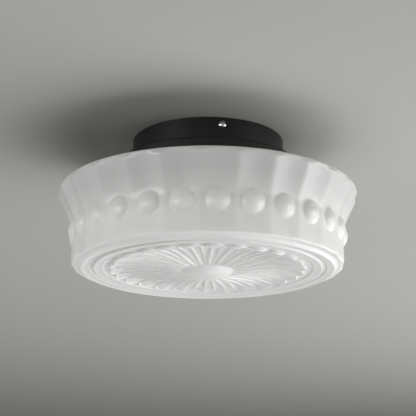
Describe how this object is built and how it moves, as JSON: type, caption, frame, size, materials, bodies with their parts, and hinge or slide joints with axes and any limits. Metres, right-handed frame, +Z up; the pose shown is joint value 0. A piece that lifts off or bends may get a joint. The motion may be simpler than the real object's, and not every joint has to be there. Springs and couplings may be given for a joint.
{
  "type": "flush mount ceiling light",
  "caption": "Flush ceiling light: black stepped steel canopy and a wide pressed opal glass shade with fluted flare, button band and petalled underside.",
  "frame": {"origin": "middle of the ceiling bracket, in the ceiling plane", "axes": "+Z up into the ceiling, the light hangs towards -Z; -Y is the front of the picture; the lamp lies along +X"},
  "size_m": [0.2994, 0.2996, 0.1427],
  "materials": {
    "opal_glass": "pressed opal white glass, satin with a soft gloss",
    "black_enamel": "matt black powder coat",
    "zinc_steel": "zinc-plated pressed steel",
    "bright_screw": "polished chrome",
    "spring_steel": "tempered spring steel",
    "silicone": "translucent pale silicone",
    "black_phenolic": "moulded black phenolic",
    "porcelain": "unglazed steatite",
    "contact_brass": "bright rolled brass",
    "plated_screw": "bright zinc plating",
    "lamp_insulator_black": "black vitreous insulator",
    "nickel_cap": "nickel-plated cap",
    "lamp_white": "white moulded plastic",
    "lamp_opal": "opal polycarbonate, satin",
    "block_nylon": "natural nylon",
    "wire_brown": "silicone sleeve, brown",
    "wire_blue": "silicone sleeve, blue",
    "wire_green_yellow": "green and yellow sleeve",
    "rubber_black": "moulded black rubber"
  },
  "bodies": {
    "fixed_frame": {"block_screw": "plated_screw", "bracket_rivets": "zinc_steel", "canopy": "black_enamel", "ceiling_bracket": "zinc_steel", "centre_contact": "contact_brass", "earth_lead": "wire_green_yellow", "earth_nut": "plated_screw", "earth_screw": "plated_screw", "earth_washer": "plated_screw", "gallery": "black_enamel", "gallery_rivets": "zinc_steel", "glass_gasket": "silicone", "holder_nipple": "zinc_steel", "holder_terminal_screws": "plated_screw", "holder_terminals": "contact_brass", "lampholder_barrel": "black_phenolic", "lampholder_bracket": "zinc_steel", "lampholder_cap": "black_phenolic", "lampholder_insert": "porcelain", "nipple_nut": "zinc_steel", "nipple_washer": "zinc_steel", "ring_terminal": "plated_screw", "screw_shell": "contact_brass", "spring_clips": "spring_steel", "tab_nuts": "zinc_steel", "terminal_block": "block_nylon", "terminal_clamps": "contact_brass", "terminal_screws": "plated_screw", "wire_grommet": "rubber_black", "wire_live": "wire_brown", "wire_neutral": "wire_blue"},
    "shade": {"shade_neck": "opal_glass", "shade_shoulder": "opal_glass", "shade_flare": "opal_glass", "shade_band": "opal_glass", "shade_floor": "opal_glass"},
    "lamp": {"lamp_tip": "contact_brass", "lamp_insulator": "lamp_insulator_black", "lamp_cap": "nickel_cap", "lamp_housing": "lamp_white", "lamp_globe": "lamp_opal"},
    "screw_front": {"pan_screw_front": "bright_screw"},
    "screw_right": {"pan_screw_right": "bright_screw"},
    "screw_left": {"pan_screw_left": "bright_screw"}
  },
  "joints": [
    {"name": "shade_pull", "type": "slide", "parent": "fixed_frame", "child": "shade", "axis": [0, 0, -1], "range_m": [0, 0.06], "deforming": ["spring_clips"]},
    {"name": "lamp_turn", "type": "hinge", "parent": "fixed_frame", "child": "lamp", "pos_m": [0, 0, -0.066], "axis": [1, 0, 0], "range_deg": [0, 1800]},
    {"name": "screw_front_turn", "type": "hinge", "parent": "fixed_frame", "child": "screw_front", "pos_m": [0.01385, -0.07473, -0.0075], "axis": [0.1822, -0.9833, 0], "continuous": true},
    {"name": "screw_right_turn", "type": "hinge", "parent": "fixed_frame", "child": "screw_right", "pos_m": [0.05779, 0.04936, -0.0075], "axis": [0.7604, 0.6494, 0], "continuous": true},
    {"name": "screw_left_turn", "type": "hinge", "parent": "fixed_frame", "child": "screw_left", "pos_m": [-0.07164, 0.02537, -0.0075], "axis": [-0.9426, 0.3338, 0], "continuous": true}
  ]
}
